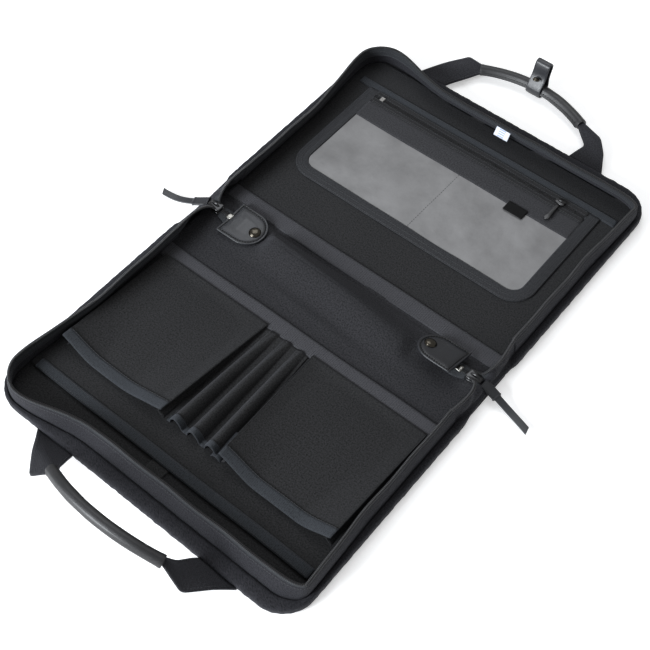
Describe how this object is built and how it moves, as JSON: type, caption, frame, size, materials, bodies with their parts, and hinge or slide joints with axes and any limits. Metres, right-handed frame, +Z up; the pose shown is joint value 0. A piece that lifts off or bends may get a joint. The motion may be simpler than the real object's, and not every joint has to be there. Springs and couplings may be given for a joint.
{
  "type": "portfolio case",
  "caption": "Soft zip-around document case: shallow trays on a folding spine, with pockets, pen loops, a clear window pocket, snap tabs and carrying handles.",
  "frame": {"origin": "on the table surface, at the middle of the spine panel's outer face, with the case opened flat", "axes": "+X along the spine, +Y from the organiser tray to the tray with the window pocket, +Z up from the table"},
  "size_m": [0.476, 0.7305, 0.0586],
  "materials": {
    "shell_nylon": "black plain-weave nylon, matt, with a faint blue cast",
    "lining_nylon": "black twill nylon lining, matt",
    "binding_tape": "black ribbed grosgrain binding tape",
    "webbing": "black woven nylon webbing",
    "zip_tape": "black knitted zip tape",
    "zip_teeth": "black nylon coil teeth, slight gloss",
    "dark_metal": "black-painted zinc casting, worn at the edges",
    "snap_metal": "dark antique nickel",
    "leather": "smooth black leather, semi-gloss, with stitching",
    "clear_vinyl": "frosted grey clear vinyl, soft gloss",
    "hook_and_loop": "black hook-and-loop pile",
    "black_label": "blank black woven label",
    "white_label": "blank white and blue satin care tag"
  },
  "bodies": {
    "organiser_tray": {"organiser_base_panel": "shell_nylon", "organiser_padded_edge": "shell_nylon", "organiser_side_wall": "shell_nylon", "organiser_zip_tape": "zip_tape", "organiser_zip_teeth": "zip_teeth", "organiser_lining": "lining_nylon", "organiser_left_gusset": "shell_nylon", "organiser_right_gusset": "shell_nylon", "full_width_pocket": "lining_nylon", "full_width_pocket_binding": "binding_tape", "hook_and_loop_tab": "hook_and_loop", "organiser_webbing_strip": "webbing", "left_pocket": "lining_nylon", "left_pocket_binding": "binding_tape", "right_pocket": "lining_nylon", "right_pocket_binding": "binding_tape", "pen_loops": "lining_nylon"},
    "near_handle": {"near_handle_left_strap": "webbing", "near_handle_right_strap": "webbing", "near_handle_grip": "leather"},
    "spine": {"spine_panel": "shell_nylon", "spine_lining": "lining_nylon", "left_zip_end": "zip_tape", "right_zip_end": "zip_tape", "left_zip_slider": "dark_metal", "right_zip_slider": "dark_metal", "left_snap_stud": "snap_metal", "right_snap_stud": "snap_metal"},
    "left_tab": {"left_snap_tab": "leather", "left_snap_cap": "snap_metal"},
    "right_tab": {"right_snap_tab": "leather", "right_snap_cap": "snap_metal"},
    "left_pull": {"left_zip_pull": "leather"},
    "right_pull": {"right_zip_pull": "leather"},
    "window_tray": {"window_base_panel": "shell_nylon", "window_padded_edge": "shell_nylon", "window_side_wall": "shell_nylon", "window_zip_tape": "zip_tape", "window_zip_teeth": "zip_teeth", "window_lining": "lining_nylon", "window_left_gusset": "shell_nylon", "window_right_gusset": "shell_nylon", "window_webbing_strip": "webbing", "top_webbing_strip": "webbing", "window_frame_binding": "binding_tape", "window_sheet": "clear_vinyl", "window_pocket_band": "lining_nylon", "pocket_zip_tape": "zip_tape", "pocket_zip_coil": "zip_teeth", "pocket_zip_stop": "dark_metal", "pocket_label": "black_label", "care_label": "white_label"},
    "pocket_slider": {"pocket_zip_slider": "dark_metal"},
    "pocket_pull": {"pocket_zip_pull": "dark_metal"},
    "far_handle": {"far_handle_left_strap": "webbing", "far_handle_right_strap": "webbing", "far_handle_grip": "leather"},
    "keeper": {"handle_keeper": "leather", "keeper_stud": "snap_metal"}
  },
  "joints": [
    {"name": "spine_fold", "type": "hinge", "parent": "organiser_tray", "child": "spine", "pos_m": [0, -0.0285, 0.002], "axis": [1, 0, 0], "range_deg": [0, 90]},
    {"name": "window_fold", "type": "hinge", "parent": "spine", "child": "window_tray", "pos_m": [0, 0.0285, 0.002], "axis": [1, 0, 0], "range_deg": [0, 90]},
    {"name": "near_handle_swing", "type": "hinge", "parent": "organiser_tray", "child": "near_handle", "pos_m": [0.008, -0.304, 0.005], "axis": [1, 0, 0], "range_deg": [-50, 45]},
    {"name": "far_handle_swing", "type": "hinge", "parent": "window_tray", "child": "far_handle", "pos_m": [-0.002, 0.304, 0.005], "axis": [-1, 0, 0], "range_deg": [-95, 0]},
    {"name": "keeper_swing", "type": "hinge", "parent": "far_handle", "child": "keeper", "pos_m": [-0.004, 0.36527, 0.01036], "axis": [1, 0, 0], "range_deg": [-65, 90]},
    {"name": "left_tab_lift", "type": "hinge", "parent": "spine", "child": "left_tab", "pos_m": [-0.149, 0.0005, 0.0085], "axis": [0, 1, 0], "range_deg": [-95, 0]},
    {"name": "right_tab_lift", "type": "hinge", "parent": "spine", "child": "right_tab", "pos_m": [0.149, 0.0005, 0.01674], "axis": [0, -0.9272, 0.3746], "range_deg": [-95, 0]},
    {"name": "left_pull_swing", "type": "hinge", "parent": "spine", "child": "left_pull", "pos_m": [-0.178, 0, 0.0138], "axis": [0, -1, 0], "range_deg": [-95, 0]},
    {"name": "right_pull_swing", "type": "hinge", "parent": "spine", "child": "right_pull", "pos_m": [0.178, 0, 0.0138], "axis": [0, 1, 0], "range_deg": [-95, 0]},
    {"name": "pocket_zip_slide", "type": "slide", "parent": "window_tray", "child": "pocket_slider", "axis": [-1, 0, 0], "range_m": [0, 0.228]},
    {"name": "pocket_pull_swing", "type": "hinge", "parent": "pocket_slider", "child": "pocket_pull", "pos_m": [0.11, 0.235, 0.0082], "axis": [-1, 0, 0], "range_deg": [0, 100]}
  ],
  "couplings": [
    {"joint": "window_fold", "follows": "spine_fold", "ratio": 1}
  ]
}
